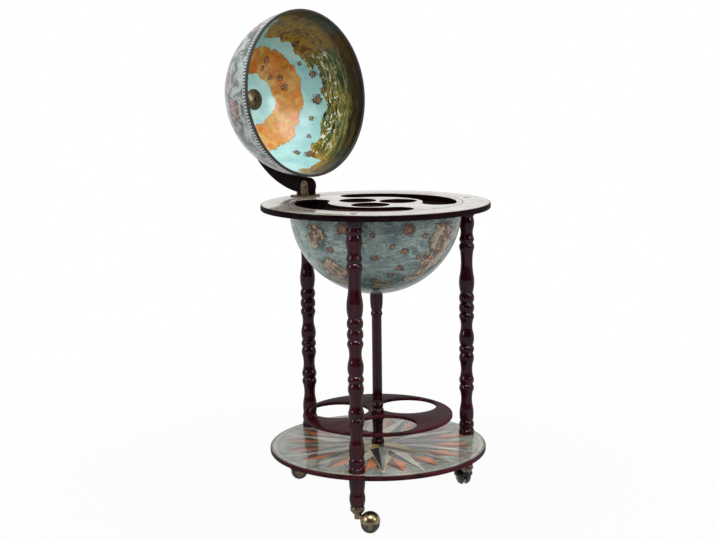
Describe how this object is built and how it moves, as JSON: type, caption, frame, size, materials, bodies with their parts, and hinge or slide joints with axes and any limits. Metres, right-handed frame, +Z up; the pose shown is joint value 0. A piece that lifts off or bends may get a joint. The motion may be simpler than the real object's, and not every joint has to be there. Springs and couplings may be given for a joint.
{
  "type": "globe bar cart",
  "caption": "Floor-standing globe bar on ball casters: turned legs, round table ring with a glass and bottle tray, hinged half-globe lid on an arc arm, bottle plate and lower shelf.",
  "frame": {"origin": "on the bar's vertical middle axis, at the floor the casters stand on", "axes": "+Z up, +Y from the middle axis to the lid's hinge, +X along the hinge pin"},
  "size_m": [0.4399, 0.6108, 0.9607],
  "materials": {
    "printed_board": "warm grey printed map design under gloss lacquer, dark mahogany edge",
    "dark_wood": "dark mahogany stain under gloss lacquer",
    "globe_shell": "pressed fibre shell with a printed map, satin varnish",
    "black_edging": "black, glossy",
    "antique_brass": "aged, lacquered",
    "steel": "plain, zinc plated",
    "dark_bronze": "dark bronzed",
    "black_wheel": "black nylon"
  },
  "bodies": {
    "frame": {"ring_board": "printed_board", "tray": "printed_board", "glass_board": "dark_wood", "bottle_board": "dark_wood", "lower_bowl": "globe_shell", "shelf_board": "printed_board", "leg_bolts": "antique_brass", "leg_inserts": "steel", "shelf_studs": "steel", "bottle_plate": "dark_wood", "centre_post": "dark_wood", "post_foot": "dark_wood", "post_stud": "steel", "post_top_washer": "steel", "post_screws": "steel", "hinge_bracket": "antique_brass", "hinge_pin": "antique_brass", "hinge_screws": "antique_brass", "leg_back": "dark_wood", "foot_back": "dark_wood", "caster_ferrule_back": "antique_brass", "caster_sleeve_back": "steel", "leg_left": "dark_wood", "foot_left": "dark_wood", "caster_ferrule_left": "antique_brass", "caster_sleeve_left": "steel", "leg_right": "dark_wood", "foot_right": "dark_wood", "caster_ferrule_right": "antique_brass", "caster_sleeve_right": "steel"},
    "lid_arm": {"lid_arm": "dark_wood", "pole_washer": "antique_brass", "pole_bolt": "dark_bronze", "pole_finial": "antique_brass"},
    "lid": {"lid_shell": "globe_shell", "lid_edging": "black_edging", "lid_boss": "antique_brass"},
    "caster_back": {"caster_stem_back": "steel", "caster_hood_back": "antique_brass"},
    "wheels_back": {"caster_wheels_back": "black_wheel", "caster_hub_caps_back": "antique_brass", "caster_axle_back": "steel"},
    "caster_left": {"caster_stem_left": "steel", "caster_hood_left": "antique_brass"},
    "wheels_left": {"caster_wheels_left": "black_wheel", "caster_hub_caps_left": "antique_brass", "caster_axle_left": "steel"},
    "caster_right": {"caster_stem_right": "steel", "caster_hood_right": "antique_brass"},
    "wheels_right": {"caster_wheels_right": "black_wheel", "caster_hub_caps_right": "antique_brass", "caster_axle_right": "steel"}
  },
  "joints": [
    {"name": "lid_hinge", "type": "hinge", "parent": "frame", "child": "lid_arm", "pos_m": [0, 0.181, 0.6135], "axis": [1, 0, 0], "range_deg": [0, 95.2]},
    {"name": "lid_spin", "type": "hinge", "parent": "lid_arm", "child": "lid", "pos_m": [0, 0.17539, 0.79576], "axis": [0, 0.9959, -0.0906], "continuous": true},
    {"name": "caster_swivel_back", "type": "hinge", "parent": "frame", "child": "caster_back", "pos_m": [0, 0.188, 0.05], "axis": [0, 0, 1], "continuous": true},
    {"name": "caster_swivel_left", "type": "hinge", "parent": "frame", "child": "caster_left", "pos_m": [-0.16281, -0.094, 0.05], "axis": [0, 0, 1], "continuous": true},
    {"name": "caster_swivel_right", "type": "hinge", "parent": "frame", "child": "caster_right", "pos_m": [0.16281, -0.094, 0.05], "axis": [0, 0, 1], "continuous": true},
    {"name": "caster_wheel_back", "type": "hinge", "parent": "caster_back", "child": "wheels_back", "pos_m": [-0.01755, 0.20495, 0.017], "axis": [-0.6947, -0.7193, 0], "continuous": true},
    {"name": "caster_wheel_left", "type": "hinge", "parent": "caster_left", "child": "wheels_left", "pos_m": [-0.15289, -0.11629, 0.017], "axis": [0.9135, 0.4067, 0], "continuous": true},
    {"name": "caster_wheel_right", "type": "hinge", "parent": "caster_right", "child": "wheels_right", "pos_m": [0.17716, -0.07426, 0.017], "axis": [-0.809, 0.5878, 0], "continuous": true}
  ]
}
